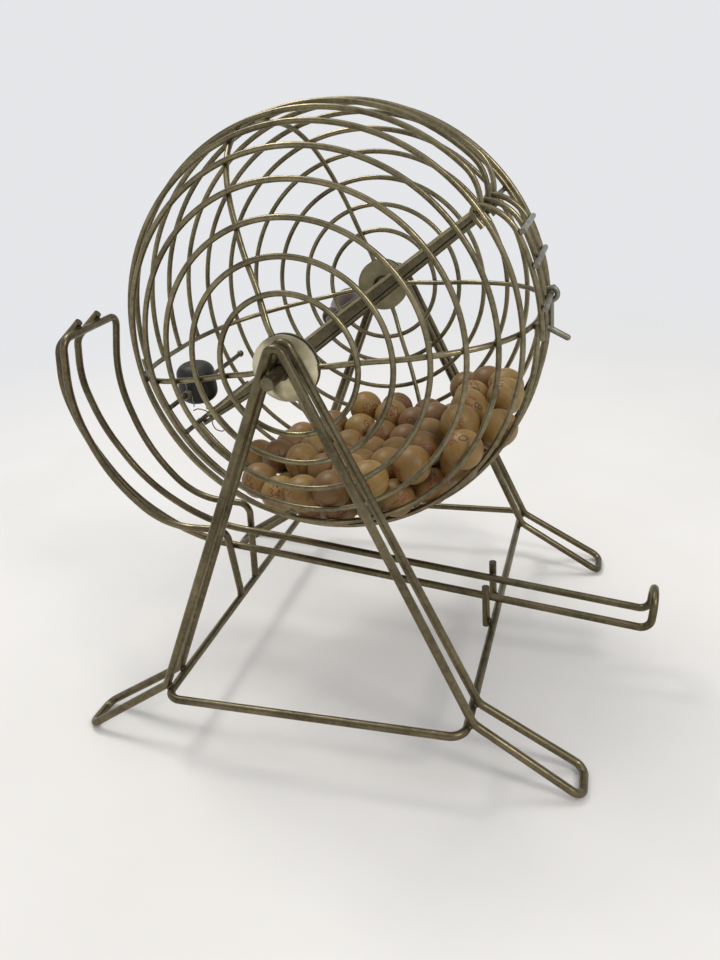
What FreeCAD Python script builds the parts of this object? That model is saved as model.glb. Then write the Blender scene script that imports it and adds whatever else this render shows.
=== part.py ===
import FreeCAD, Part
import math
import os
import random

# Wire bingo cage: a squashed wire ball that holds numbered balls and turns by a crank between
# two wire A-frames, over a wire chute that catches the ball let out at the exit.
# Millimetres.  +Z up, +X along the chute towards its stop, +Y from the front frame to the crank.
# The origin is on the table, at the centre of the base rectangle.

V = FreeCAD.Vector

# ---- wire and sheet sizes -------------------------------------------------------------------
frame_wire = 4.76
chute_wire = 4.76
ring_wire = 3.0
rib_wire = 3.0
rail_wire = 3.0
trap_wire = 3.0
finger_wire = 1.8
spring_wire = 0.7
latch_pin_wire = 3.4
crank_wire = 4.76
axle_rod = 6.8
sheet = 1.0
trough_sheet = 0.8
weld_sink = 0.08
seam_sink = 0.01
run_clearance = 0.4
fit_gap = 0.3

# ---- stand ----------------------------------------------------------------------------------
axle_height = 224.2
leg_cross_above_axle = 22.0
front_leg_bend = 4.3
rear_leg_bend = 9.0
knee_half_width = 90.4
knee_height = 38.6
knee_bend = 10.0
foot_half_width = 147.6
foot_tip_bend = 6.0
leg_plane_inner = 105.7
apex_plane_outer = 115.7
knee_plane_outer = 123.0
foot_plane_inner = 104.5
foot_plane_outer = 127.3
base_half_length = 131.8
base_corner = 9.0
spindle_past_leg = 5.0
sleeve_inset = 0.6
sleeve_past_leg = 0.8

# ---- cage -----------------------------------------------------------------------------------
cage_radius = 119.0
cage_half_length = 93.6
cage_roundness = 2.85
middle_ring_pitch = 22.0
middle_ring_count = 4
side_ring_count = 6
first_ring_from_hub = 19.3
top_rib_angle = 109.0
exit_rib_angle = 190.0
bottom_rib_angle = 288.0
door_rib_angle = 2.0
bar_bend = 12.0
profile_steps = 6
profile_last_normal = 84.0
end_overhang = 1.6
doubler_overhang = 6.0

# ---- hubs -----------------------------------------------------------------------------------
hub_radius = 17.2
hub_hole = 9.0
disc_hole = 13.0
dome_height = 5.6
rib_end_radius = 11.0
rib_hub_corner = 22.5
rib_hub_bend = 12.0
bush_bite = 0.5
bush_recess = 11.4
bush_recess_depth = 4.0
spindle_head = 9.0
spindle_head_thickness = 1.4
fit_clearance = 0.05

# ---- exit, trough and trap ------------------------------------------------------------------
exit_span_angle = 22.5
trough_inner_width = 23.2
trough_sag = 8.4
trough_sag_share = 0.35
trough_bend = 80.0
trough_rim_low = -0.3
trough_rim_high = 1.6
trough_gap_exit = 5.0
trough_gap_door = 4.5
rail_end_past_door = 2.0
trap_start_span_angle = 13.5
trap_end_span_angle = 12.3
trap_tip = 4.8
trap_overhang = 12.0
trap_weight_width = 24.5
trap_weight_height = 25.6
trap_weight_round = 7.0
trap_weight_lift = 3.0
trap_neck = 6.6
trap_neck_length = 5.0
trap_bore_clearance = 0.08
finger_length = 6.0
finger_offset = 4.0
finger_root = 0.005
spring_turns = 4
spring_pitch = 1.1
spring_leg = 9.0
spring_clearance = 0.3

# ---- loading door ---------------------------------------------------------------------------
door_span_angle = 33.5
seat_bend = 26.0
door_wire_shift = -5.0
door_past_rib_angle = 3.0
door_cross_span_angles = (24.0, 15.5, 5.0)
door_cross_overhang = 3.5
hinge_loop_clearance = 0.3
hinge_tail = 7.0
hook_wrap = 140.0
door_bend = 26.0
latch_side_shift = 8.8
latch_pin_inner = (113.6, -1.9)
latch_pin_outer = (131.0, -6.0)
latch_arm_span_angle = -3.6

# ---- crank ----------------------------------------------------------------------------------
crank_radius = 66.0
crank_angle = 211.5
crank_bend = 6.5
crank_leg_clearance = 2.4
grip_length = 70.0
grip_start_gap = 1.0
grip_bead = 14.0
grip_neck = 13.0
grip_bulge = 23.2
grip_tail = 15.0
grip_bore_clearance = 0.08
grip_washer = 10.0
grip_washer_thickness = 1.2
pin_head = 8.0
pin_head_thickness = 1.8

# ---- chute ----------------------------------------------------------------------------------
chute_centre = -8.75
chute_gauge = 21.5
chute_slope_start = (-62.5, 72.3)
chute_stop_x = 180.5
chute_stop_floor = 38.3
chute_stop_height = 20.3
chute_stop_lean = 2.0
chute_stop_bend = 6.5
chute_bends = (14.0, 60.0, 120.0, 120.0, 120.0, 400.0)
chute_curve = ((-171.0, 228.4), (-190.5, 212.0), (-194.5, 184.0), (-185.5, 150.0),
               (-159.5, 108.0), (-114.5, 78.5))
chute_stub = 3.8
guard_curve = ((-178.5, 178.0), (-162.5, 128.0), (-130.5, 92.5))
guard_post_height = 91.0
guard_top_half_width = 31.0
guard_post_half_width = 19.5
guard_foot_half_width = 12.5
guard_corner = 7.0
guard_post_bend = 8.0
support_post_height = 28.0

# ---- balls ----------------------------------------------------------------------------------
ball_diameter = 22.2
ball_count = 75
ball_gap = 0.3
pile_tilt = 8.0
pile_layer = 18.6
pile_spacing = 22.9
pile_jitter = 2.6
settle_rounds = 90
settle_step = 0.7
ball_seed = 7


# ---- small helpers --------------------------------------------------------------------------
def unit(vector):
    """The vector at length 1."""
    return FreeCAD.Vector(vector).normalize()


def turn_between(before, after):
    """The angle between two directions, in radians."""
    return before.getAngle(after)


def bent_path(points, radius=None, radii=None):
    """Straight runs through the points, joined by tangent arcs.  With no radius given,
    each arc is as large as its two runs allow."""
    edges = []
    start = points[0]
    last = len(points) - 2
    for index in range(1, len(points) - 1):
        corner = points[index]
        before = unit(corner - points[index - 1])
        after = unit(points[index + 1] - corner)
        turn = turn_between(before, after)
        if turn < 1e-4:
            continue
        room_before = (corner - points[index - 1]).Length * (0.97 if index == 1 else 0.485)
        room_after = (points[index + 1] - corner).Length * (0.97 if index == last else 0.485)
        room = min(room_before, room_after)
        wanted = radii[index - 1] if radii else radius
        reach = room if wanted is None else min(room, wanted * math.tan(turn / 2))
        bend = reach / math.tan(turn / 2)
        first = corner - before * reach
        second = corner + after * reach
        inward = unit(after - before)
        middle = corner + inward * (bend / math.cos(turn / 2) - bend)
        if (first - start).Length > 1e-4:
            edges.append(Part.LineSegment(start, first).toShape())
        edges.append(Part.Arc(first, middle, second).toShape())
        start = second
    if (points[-1] - start).Length > 1e-4:
        edges.append(Part.LineSegment(start, points[-1]).toShape())
    return Part.Wire(edges)


def swept(path, diameter):
    """A round wire along a path."""
    edge = path.OrderedEdges[0]
    start = edge.valueAt(edge.FirstParameter)
    direction = edge.tangentAt(edge.FirstParameter)
    section = Part.Wire(Part.makeCircle(diameter / 2, start, direction))
    return path.makePipeShell([section], True, True)


def bent_wire(points, diameter, radius=None, radii=None):
    """A round wire bent through the points."""
    return swept(bent_path(points, radius, radii), diameter)


def rod(start, end, diameter):
    """A straight round rod from one point to another."""
    return Part.makeCylinder(diameter / 2, (end - start).Length, start, end - start)


def turned(outline, origin, axis=V(0, 1, 0)):
    """A solid of revolution about the line through origin, from a closed outline face."""
    return outline.revolve(origin, axis, 360)


def mirrored(shape):
    """The shape reflected from the front of the stand to its back."""
    return shape.mirror(V(0, 0, 0), V(0, 1, 0))


def solids_of(shapes):
    """One compound of the shapes' solids."""
    return Part.makeCompound([solid for shape in shapes for solid in shape.Solids])


def fused(shapes):
    """One solid from pieces that meet."""
    whole = shapes[0].multiFuse(shapes[1:]) if len(shapes) > 1 else shapes[0]
    return whole.removeSplitter()


# ---- places that several pieces share ---------------------------------------------------------
leg_cross_height = axle_height + leg_cross_above_axle
leg_lean = math.atan2(knee_half_width, leg_cross_height - knee_height)
leg_half_gap = leg_cross_above_axle * math.tan(leg_lean)
axle_to_leg = (axle_rod + frame_wire) / 2 - weld_sink
axle_x = -(leg_half_gap - axle_to_leg / math.cos(leg_lean))
outer_plane_slope = (knee_plane_outer - apex_plane_outer) / (leg_cross_height - knee_height)
axle_plane_outer = apex_plane_outer + outer_plane_slope * leg_cross_above_axle

foot_height = frame_wire / 2
foot_lean = math.atan2(knee_height - foot_height, foot_half_width - knee_half_width)
knee_bisector = (math.pi / 2 - leg_lean + foot_lean) / 2
knee_inset = knee_bend * (1 / math.cos((math.pi / 2 - leg_lean - foot_lean) / 2) - 1)
rail_drop = frame_wire - weld_sink - knee_inset
rail_x = knee_half_width - rail_drop * math.sin(knee_bisector)
rail_z = knee_height - rail_drop * math.cos(knee_bisector)

rib_angles = {"top": top_rib_angle, "exit_side": exit_rib_angle, "bottom": bottom_rib_angle,
              "door_side": door_rib_angle}
exit_bar_angle = exit_rib_angle + exit_span_angle
hinge_bar_angle = door_rib_angle + door_span_angle


def cage_at(radius, angle, along):
    """A point given by its distance from the axle, its angle from +X towards +Z and its y."""
    bearing = math.radians(angle)
    return V(axle_x + radius * math.cos(bearing), along, axle_height + radius * math.sin(bearing))


def cage_direction(angle):
    """The direction out from the axle at an angle."""
    bearing = math.radians(angle)
    return V(math.cos(bearing), 0, math.sin(bearing))


# ---- cage profile -----------------------------------------------------------------------------
# Hub stack, from the A-frame inwards: dome, rib ends, disc.
dome_top = leg_plane_inner - frame_wire / 2 - run_clearance
dome_rim = dome_top - dome_height
rib_end_plane = dome_rim - sheet - rib_wire / 2 + weld_sink
disc_outer = rib_end_plane - rib_wire / 2 + weld_sink
ring_seat = (ring_wire + rib_wire) / 2 - weld_sink


def profile_tangent(normal_angle):
    """Point of the rib line (y, radius) where its outward normal leans by an angle from the
    radial direction, and that normal."""
    lean = math.radians(normal_angle)
    ratio = (math.tan(lean) * cage_half_length / cage_radius) ** (1 / (cage_roundness - 1))
    across = (1 + ratio ** cage_roundness) ** (-1 / cage_roundness)
    along = ratio * across
    normal = (math.sin(lean), math.cos(lean))
    return ((cage_half_length * along - ring_seat * normal[0],
             cage_radius * across - ring_seat * normal[1]), normal)


def tangent_crossing(one, other):
    """Where the tangents at two points of the rib line cross."""
    (ay, ar), (ny, nr) = one
    (by, br), (my, mr) = other
    first = ay * ny + ar * nr
    second = by * my + br * mr
    spread = ny * mr - nr * my
    return ((first * mr - second * nr) / spread, (ny * second - my * first) / spread)


def half_profile():
    """Corners (y, radius) of the rib line from the equator to the hub."""
    step = profile_last_normal / profile_steps
    tangents = [profile_tangent(step * index) for index in range(profile_steps + 1)]
    corners = [tangent_crossing(tangents[i], tangents[i + 1]) for i in range(profile_steps)]
    corners.append(tangents[-1][0])
    corners.append((rib_end_plane, rib_hub_corner))
    corners.append((rib_end_plane, rib_end_radius))
    return corners


def rib_path(angle):
    """The centre line of the rib at an angle, front hub to rear hub."""
    half = half_profile()
    corners = [(-y, r) for y, r in reversed(half)] + half
    bends = [rib_hub_bend] + [None] * (len(corners) - 4) + [rib_hub_bend]
    return bent_path([cage_at(r, angle, y) for y, r in corners], radii=bends)


def path_point(path, distance):
    """Point and direction at a distance along a path."""
    for edge in path.OrderedEdges:
        if distance <= edge.Length + 1e-9:
            parameter = edge.getParameterByLength(min(distance, edge.Length))
            return edge.valueAt(parameter), edge.tangentAt(parameter)
        distance -= edge.Length
    edge = path.OrderedEdges[-1]
    return edge.valueAt(edge.LastParameter), edge.tangentAt(edge.LastParameter)


def ring_sizes():
    """Radius and y of every ring, front to rear, seated on the outside of the ribs."""
    path = rib_path(0)
    start = hub_radius - rib_end_radius + first_ring_from_hub
    half_middle = middle_ring_pitch * (middle_ring_count - 1) / 2
    middle = path.Length / 2
    side_pitch = (middle - half_middle - start) / side_ring_count
    places = [start + side_pitch * index for index in range(side_ring_count)]
    places += [middle - half_middle + middle_ring_pitch * i for i in range(middle_ring_count)]
    places += [path.Length - place for place in reversed(places[:side_ring_count])]
    sizes = []
    for place in places:
        point, direction = path_point(path, place)
        outward = unit(V(direction.y, -direction.x, 0))
        centre = point + outward * ring_seat
        sizes.append((centre.x - axle_x, centre.y))
    return sizes


rings = ring_sizes()
door_rings = range(side_ring_count, side_ring_count + 3)
exit_rings = range(side_ring_count + 1, side_ring_count + 4)
bar_seat = rings[side_ring_count - 1][0] - ring_seat


def ring_arc(radius, along, start, end):
    """Part of a ring from one angle to another."""
    face = Part.Face(Part.Wire(Part.makeCircle(
        ring_wire / 2, cage_at(radius, start, along), cage_direction(start + 90))))
    return face.revolve(V(axle_x, along, axle_height), V(0, -1, 0), end - start)


def overhang_angle(radius):
    """How far a cut ring runs on past the wire that it is welded to."""
    return math.degrees(end_overhang / radius)


def cut_ring(index):
    """A ring with its gaps at the exit and at the door."""
    radius, along = rings[index]
    extra = overhang_angle(radius)
    top = (hinge_bar_angle + hinge_seat_angle(radius), exit_rib_angle + extra)
    low = (exit_bar_angle - extra, door_rib_angle + 360 + extra)
    if index in door_rings and index in exit_rings:
        return solids_of([seated_arc(radius, along, top), ring_arc(radius, along, *low)])
    if index in door_rings:
        return seated_arc(radius, along, (top[0], low[1]))
    return ring_arc(radius, along, low[0], top[1] + 360)


# A ring cut at the door is bent in at its upper end, down to the straight hinge bar.
def seat_swing(radius):
    """How far a ring's end bends to aim at the middle of the hinge bar, in radians."""
    offset = radius - seat_bend
    return math.acos((bar_seat ** 2 - offset ** 2 - seat_bend ** 2) / (2 * offset * seat_bend))


def hinge_seat_angle(radius):
    """The angle that a ring's bent end takes up before the hinge bar."""
    offset = radius - seat_bend
    swing = seat_swing(radius)
    return math.degrees(math.atan2(seat_bend * math.sin(swing),
                                   offset + seat_bend * math.cos(swing)))


def seated_arc(radius, along, span):
    """A ring arc whose first end bends in to the hinge bar."""
    offset = radius - seat_bend
    swing = seat_swing(radius) - (rib_wire / 2 - weld_sink) / seat_bend
    face = Part.Face(Part.Wire(Part.makeCircle(
        ring_wire / 2, cage_at(radius, span[0], along), cage_direction(span[0] + 90))))
    bend = face.revolve(cage_at(offset, span[0], along), V(0, 1, 0), math.degrees(swing))
    return fused([ring_arc(radius, along, *span), bend])


# ---- stand ----------------------------------------------------------------------------------
def a_frame_half(side, leg_bend):
    """Half of an A-frame's closed wire, on one side of its centre line, at the front."""
    tip_outer = V(side * foot_half_width, -foot_plane_outer, foot_height)
    tip_inner = V(side * foot_half_width, -foot_plane_inner, foot_height)
    points_outer = [V(side * knee_half_width, -knee_plane_outer, knee_height), tip_outer]
    points_inner = [tip_inner, V(side * knee_half_width, -leg_plane_inner, knee_height)]
    level = V(side * leg_bend * math.tan((math.pi / 2 - leg_lean) / 2), 0, 0)
    crown_drop = leg_bend * (1 / math.sin(leg_lean) - 1)
    crown_height = leg_cross_height - crown_drop
    crown_plane_outer = apex_plane_outer + outer_plane_slope * crown_drop
    crown_outer = V(0, -crown_plane_outer, crown_height)
    crown_inner = V(0, -leg_plane_inner, crown_height)
    start = [crown_outer, crown_outer + level]
    end = [crown_inner + level, crown_inner]
    points = start + points_outer + points_inner + end
    radii = [leg_bend, knee_bend, foot_tip_bend, foot_tip_bend, knee_bend, leg_bend]
    return bent_wire(points, frame_wire, radii=radii)


def a_frame(leg_bend):
    return fused([a_frame_half(-1, leg_bend), a_frame_half(1, leg_bend)])


def base_frame():
    half = []
    for side in (-1, 1):
        half.append(bent_wire([V(0, -base_half_length, rail_z),
                               V(side * rail_x, -base_half_length, rail_z),
                               V(side * rail_x, base_half_length, rail_z),
                               V(0, base_half_length, rail_z)], frame_wire, base_corner))
    return fused(half)


def rear_sleeve():
    """The crank's bearing: a tube welded to the two left legs, bored to let the axle turn."""
    start = V(axle_x, leg_plane_inner - frame_wire / 2 + sleeve_inset, axle_height)
    end = V(axle_x, axle_plane_outer + sleeve_past_leg, axle_height)
    return rod(start, end, axle_rod).cut(rod(start, end, crank_wire + 2 * fit_clearance))


def front_spindle():
    """A fixed rod, welded to the two left legs and headed inside the hub."""
    front = V(axle_x, -axle_plane_outer - spindle_past_leg, axle_height)
    head = V(axle_x, -bush_inner_end - bush_recess_depth, axle_height)
    neck = head + V(0, fit_gap, 0)
    cap = rod(neck, neck + V(0, spindle_head_thickness, 0), spindle_head)
    return fused([rod(front, neck, axle_rod), cap])


# ---- chute ----------------------------------------------------------------------------------
def chute_side(offset):
    """Corners of one floor wire, from its stub at the top to the foot of the stop."""
    corners = [V(x, chute_centre + offset, z) for x, z in chute_curve]
    corners.append(V(chute_slope_start[0], chute_centre + offset, chute_slope_start[1]))
    corners.append(V(chute_stop_x, chute_centre + offset, chute_stop_floor))
    return corners


def chute_floor():
    top = V(chute_stop_lean, 0, chute_stop_height)
    near = chute_side(-chute_gauge / 2)
    far = chute_side(chute_gauge / 2)
    points = near + [near[-1] + top, far[-1] + top] + list(reversed(far))
    radii = list(chute_bends) + [chute_stop_bend, chute_gauge * 0.48]
    radii = radii + list(reversed(radii))
    return bent_wire(points, chute_wire, radii=radii)


def chute_crossbar():
    """Centre (x, z) of the guard's top bar, under the ends of the floor wires."""
    end = V(chute_curve[0][0], 0, chute_curve[0][1])
    along = unit(end - V(chute_curve[1][0], 0, chute_curve[1][1]))
    below = V(along.z, 0, -along.x)
    return end - along * chute_stub + below * (chute_wire - weld_sink)


def chute_guard():
    bar = chute_crossbar()
    steps = len(guard_curve) + 1
    points = []
    radii = []
    foot_z = rail_z + frame_wire / 2
    for side in (-1, 1):
        half = [V(bar.x, chute_centre + side * guard_top_half_width, bar.z)]
        for index, (x, z) in enumerate(guard_curve):
            share = (index + 1) / steps
            width = guard_top_half_width + share * (guard_post_half_width - guard_top_half_width)
            half.append(V(x, chute_centre + side * width, z))
        half.append(V(-rail_x, chute_centre + side * guard_post_half_width, guard_post_height))
        half.append(V(-rail_x, chute_centre + side * guard_foot_half_width, foot_z))
        bends = [guard_corner] + [None] * len(guard_curve) + [guard_post_bend]
        if side < 0:
            points += list(reversed(half))
            radii += list(reversed(bends))
        else:
            points += half
            radii += bends
    return bent_wire(points, chute_wire, radii=radii)


def chute_support_posts():
    """Two short posts on the inner side of the right rail, one beside each floor wire."""
    x = rail_x - (frame_wire + chute_wire) / 2 + weld_sink
    foot = rail_z - frame_wire / 2
    posts = []
    for side in (-1, 1):
        y = chute_centre + side * (chute_gauge / 2 + chute_wire - weld_sink)
        posts.append(rod(V(x, y, foot), V(x, y, foot + support_post_height), chute_wire))
    return solids_of(posts)


# ---- hubs -----------------------------------------------------------------------------------
bush_inner_end = disc_outer - bush_bite


def ring_outline(points):
    """A closed face from (radius, y) corners beside the axle."""
    corners = [cage_at(radius, 0, y) for radius, y in points]
    return Part.Face(Part.makePolygon(corners + corners[:1]))


def front_hub_dome():
    """A pressed cap, bulging to the front, with a hole for the spindle."""
    sphere = (hub_radius ** 2 + dome_height ** 2) / (2 * dome_height)
    centre = -dome_top + sphere

    def on_cap(size, radius):
        return cage_at(radius, 0, centre - math.sqrt(size ** 2 - radius ** 2))

    inner = sphere - sheet
    hole = hub_hole / 2
    middle = (hub_radius + hole) / 2
    outer_arc = Part.Arc(on_cap(sphere, hub_radius), on_cap(sphere, middle),
                         on_cap(sphere, hole)).toShape()
    inner_arc = Part.Arc(on_cap(inner, hole), on_cap(inner, middle),
                         on_cap(inner, hub_radius)).toShape()
    lip = Part.LineSegment(on_cap(sphere, hole), on_cap(inner, hole)).toShape()
    rim = Part.LineSegment(on_cap(inner, hub_radius), on_cap(sphere, hub_radius)).toShape()
    outline = Part.Face(Part.Wire([outer_arc, lip, inner_arc, rim]))
    return turned(outline, V(axle_x, 0, axle_height))


def dome_inner_at(radius):
    """Distance from the middle of the cage to the dome's inner face at a radius."""
    sphere = (hub_radius ** 2 + dome_height ** 2) / (2 * dome_height)
    return dome_top - sphere + math.sqrt((sphere - sheet) ** 2 - radius ** 2)


def front_hub_disc():
    face = ring_outline([(disc_hole / 2, -disc_outer), (hub_radius, -disc_outer),
                         (hub_radius, -disc_outer + sheet), (disc_hole / 2, -disc_outer + sheet)])
    return turned(face, V(axle_x, 0, axle_height))


def hub_bush(bore):
    """A bearing bush between dome and disc, recessed on the cage's side."""
    outer = disc_hole / 2
    seat = dome_inner_at(outer)
    face = ring_outline([(bore / 2, -seat), (outer, -seat), (outer, -bush_inner_end),
                         (bush_recess / 2, -bush_inner_end),
                         (bush_recess / 2, -bush_inner_end - bush_recess_depth),
                         (bore / 2, -bush_inner_end - bush_recess_depth)])
    return turned(face, V(axle_x, 0, axle_height))


# ---- cage wires -----------------------------------------------------------------------------
def cage_ring(index):
    """One ring, whole or cut at the exit and the door."""
    if index in door_rings or index in exit_rings:
        return cut_ring(index)
    radius, along = rings[index]
    return Part.makeTorus(radius, ring_wire / 2, V(axle_x, along, axle_height), V(0, 1, 0))


def exit_doubler():
    """A second wire beside the ring in front of the exit, from above the rib to below the bar."""
    radius, along = rings[side_ring_count]
    extra = math.degrees(doubler_overhang / radius)
    return ring_arc(radius, along - ring_wire + seam_sink, exit_rib_angle - extra,
                    exit_bar_angle + extra)


def surface_bar(angle, first, last):
    """A wire on the inside of neighbouring rings, from one ring to another."""
    points = []
    for index in range(first, last + 1):
        radius, along = rings[index]
        before = rings[max(index - 1, 0)]
        after = rings[min(index + 1, len(rings) - 1)]
        slope = V(after[0] - before[0], after[1] - before[1], 0)
        inward = unit(V(-slope.y, slope.x, 0))
        points.append((radius + inward.x * ring_seat, along + inward.y * ring_seat))
    (r0, y0), (r1, y1) = points[:2]
    (r3, y3), (r2, y2) = points[-2:]
    lead = end_overhang / math.hypot(r1 - r0, y1 - y0)
    tail = end_overhang / math.hypot(r2 - r3, y2 - y3)
    points[0] = (r0 - (r1 - r0) * lead, y0 - (y1 - y0) * lead)
    points[-1] = (r2 + (r2 - r3) * tail, y2 + (y2 - y3) * tail)
    return bent_wire([cage_at(r, angle, y) for r, y in points], rib_wire, bar_bend)


def exit_bar():
    return surface_bar(exit_bar_angle, exit_rings[0] - 1, exit_rings[-1] + 1)


def hinge_bar():
    """A straight wire inside the rings on both sides of the door opening."""
    reach = rings[side_ring_count - 1][1] - ring_wire / 2 - end_overhang
    return rod(cage_at(bar_seat, hinge_bar_angle, reach),
               cage_at(bar_seat, hinge_bar_angle, -reach), rib_wire)


# ---- trough ---------------------------------------------------------------------------------
exit_bar_radius = rings[exit_rings[0]][0] - ring_seat
exit_end = cage_at(exit_bar_radius, exit_bar_angle, 0)
door_end = cage_at(bar_seat, hinge_bar_angle, 0)
trough_line = unit(door_end - exit_end)
trough_up = V(-trough_line.z, 0, trough_line.x)
trough_outer_width = trough_inner_width + 2 * trough_sheet
trough_reach = (door_end - exit_end).Length
rail_drop_below = (rib_wire + rail_wire) / 2 - weld_sink


def under_line(lift, cut_exit=0.0, cut_door=0.0, past_door=0.0):
    """A bent line beside the rails' middle, from the exit bar down to the sag and up to the
    hinge bar, raised square to itself by lift and shortened or lengthened at its ends."""
    start = V(0, 0, -rail_drop_below)
    low = V(trough_sag_share * trough_reach, 0, -trough_sag)
    end = V(trough_reach, 0, -rail_drop_below)
    first = unit(low - start)
    second = unit(end - low)
    above_first = V(-first.z, 0, first.x)
    above_second = V(-second.z, 0, second.x)
    bisector = (above_first + above_second) * (1 / (1 + above_first.dot(above_second)))
    flat = [start + first * cut_exit + above_first * lift, low + bisector * lift,
            end + second * (past_door - cut_door) + above_second * lift]
    return [exit_end + trough_line * p.x + trough_up * p.z for p in flat]


def trough():
    """A folded sheet channel across the cage, deepest where it sags, open to the side that
    faces up."""
    cuts = (rib_wire / 2 + trough_gap_exit, rib_wire / 2 + trough_gap_door)
    under = rail_wire / 2 - seam_sink
    floor_low = bent_path(under_line(under, *cuts), trough_bend - under)
    inside = under + trough_sheet
    floor_high = bent_path(under_line(inside, *cuts), trough_bend - inside)
    rim = [exit_end + trough_line * cuts[0] + trough_up * trough_rim_low,
           door_end - trough_line * cuts[1] + trough_up * trough_rim_high]

    def closed(path, others):
        first = path.OrderedVertexes[0].Point
        last = path.OrderedVertexes[-1].Point
        return Part.Face(Part.Wire(path.OrderedEdges + Part.makePolygon([last] + others
                                                                        + [first]).Edges))

    half = trough_outer_width / 2
    wall = closed(floor_low, [rim[1], rim[0]])
    back = [vertex.Point for vertex in reversed(floor_high.OrderedVertexes)]
    ends = Part.makePolygon([floor_low.OrderedVertexes[-1].Point, back[0]]).Edges
    ends += Part.makePolygon([back[-1], floor_low.OrderedVertexes[0].Point]).Edges
    floor = Part.Face(Part.Wire(Part.__sortEdges__(floor_low.Edges + floor_high.Edges + ends)))
    walls = []
    for y in (-half, half - trough_sheet):
        plate = wall.extrude(V(0, trough_sheet, 0))
        plate.translate(V(0, y, 0))
        walls.append(plate)
    strip = floor.extrude(V(0, trough_outer_width, 0))
    strip.translate(V(0, -half, 0))
    return fused([strip] + walls)


def trough_rails():
    """Two wires under the trough's edges, from the exit bar to the hinge bar."""
    shift = (trough_outer_width - rail_wire) / 2
    line = under_line(0.0, past_door=rail_end_past_door)
    return solids_of([bent_wire([point + V(0, side * shift, 0) for point in line], rail_wire,
                                trough_bend) for side in (-1, 1)])


# ---- trap -----------------------------------------------------------------------------------
front_trap_ring = rings[side_ring_count]
rear_trap_ring = rings[exit_rings[-1] + 1]
trap_seat = (ring_wire + trap_wire) / 2 - weld_sink
trap_front = cage_at(front_trap_ring[0] - trap_seat, exit_rib_angle + trap_start_span_angle,
                     front_trap_ring[1])
trap_rear = cage_at(rear_trap_ring[0] - trap_seat, exit_rib_angle + trap_end_span_angle,
                    rear_trap_ring[1])
trap_line = unit(trap_rear - trap_front)
trap_centre = trap_front - trap_line * (trap_front.y / trap_line.y)
trap_side = unit(trap_line.cross(V(0, 0, 1)))
trap_up = unit(trap_side.cross(trap_line))


def trap_rod():
    """The fixed rod across the exit, with a round tip behind the ring that it rests in."""
    front = trap_front - trap_line * end_overhang
    tip = trap_rear + trap_line * trap_overhang
    ball = Part.makeSphere(trap_tip / 2, tip)
    return fused([rod(front, tip, trap_wire), ball])


weight_below_rod = trap_weight_height / 2 - trap_weight_lift


def trap_weight():
    """A rubber block that swings on the rod, with a neck round the rod behind it."""
    body = Part.makeCylinder(trap_weight_width / 2, trap_weight_height,
                             trap_centre - trap_up * weight_below_rod, trap_up)
    body = body.makeFillet(trap_weight_round, [edge for edge in body.Edges
                                               if edge.Curve.TypeId == "Part::GeomCircle"])
    neck_end = trap_centre + trap_line * (trap_weight_width / 2 + trap_neck_length)
    neck = rod(trap_centre, neck_end, trap_neck)
    bore = rod(trap_centre - trap_line * trap_weight_width, trap_centre + trap_line
               * trap_weight_width, trap_wire + 2 * trap_bore_clearance)
    return fused([body, neck]).cut(bore)


def trap_finger():
    """A short wire out of the weight's underside, down to the mouth of the trough."""
    start = trap_centre - trap_up * (weight_below_rod - finger_root) + trap_side * finger_offset
    return rod(start, start - trap_up * (finger_length + finger_root), finger_wire)


def trap_spring():
    """A torsion spring on the rod, with one leg along the weight and one along the rod's ring."""
    coil_radius = (trap_wire + spring_wire) / 2 + spring_clearance
    length = spring_turns * spring_pitch
    helix = Part.makeHelix(spring_pitch, length, coil_radius)
    start = V(coil_radius, 0, 0)
    section = Part.Wire(Part.makeCircle(spring_wire / 2, start, V(0, 1, 0)))
    coil = Part.Wire(helix.Edges).makePipeShell([section], True, True)
    lower = rod(start, start - V(0, spring_leg, 0), spring_wire)
    upper = rod(start + V(0, 0, length), start + V(0, spring_leg, length), spring_wire)
    spring = fused([coil, lower, upper])
    reach = (trap_weight_width + spring_wire) / 2 - seam_sink
    gap = math.sqrt(reach ** 2 - coil_radius ** 2)
    place = FreeCAD.Placement(trap_centre - trap_line * (gap + length),
                              FreeCAD.Rotation(trap_side, trap_up, trap_line, "ZXY"))
    spring.Placement = place
    return spring


# ---- loading door ---------------------------------------------------------------------------
loop_radius = rib_wire / 2 + hinge_loop_clearance + ring_wire / 2
door_radius = rings[side_ring_count + 1][0] + run_clearance + weld_sink
door_wire_places = [rings[index][1] + door_wire_shift for index in door_rings]


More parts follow.
